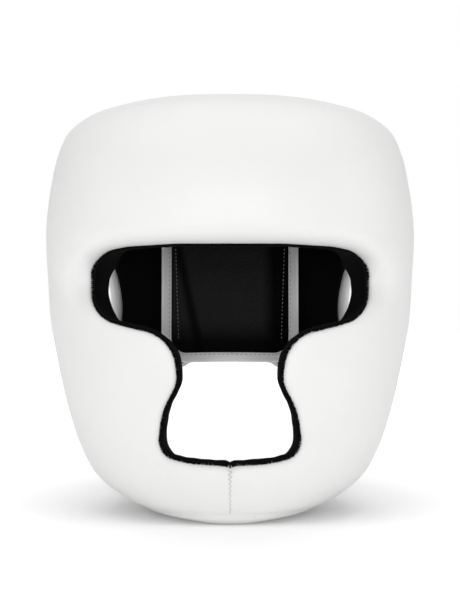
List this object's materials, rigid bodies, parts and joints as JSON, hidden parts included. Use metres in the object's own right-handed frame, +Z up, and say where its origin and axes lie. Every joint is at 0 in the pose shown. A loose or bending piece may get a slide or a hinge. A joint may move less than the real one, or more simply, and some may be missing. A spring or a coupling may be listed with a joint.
{
  "type": "full face boxing headgear",
  "caption": "White padded full face boxing headgear with an eye slot, mouth opening, ear holes, black lining and a padded nape panel, standing on its lower rim.",
  "frame": {"origin": "on the floor, under the middle of the box around the headgear as it stands", "axes": "+Z up, -Y the way the face looks, +X to the right in the view from the front"},
  "size_m": [0.23, 0.254, 0.263],
  "materials": {
    "white_leather": "smooth, softly satin",
    "black_lining": "matt brushed knit",
    "black_mesh": "matt fine mesh",
    "white_binding": "satin"
  },
  "bodies": {
    "root": {"padded_shell": "white_leather", "lining": "black_lining", "crown_panel": "white_leather", "nape_panel": "black_mesh", "nape_binding": "white_binding", "closure_strap": "white_leather"}
  },
  "joints": []
}
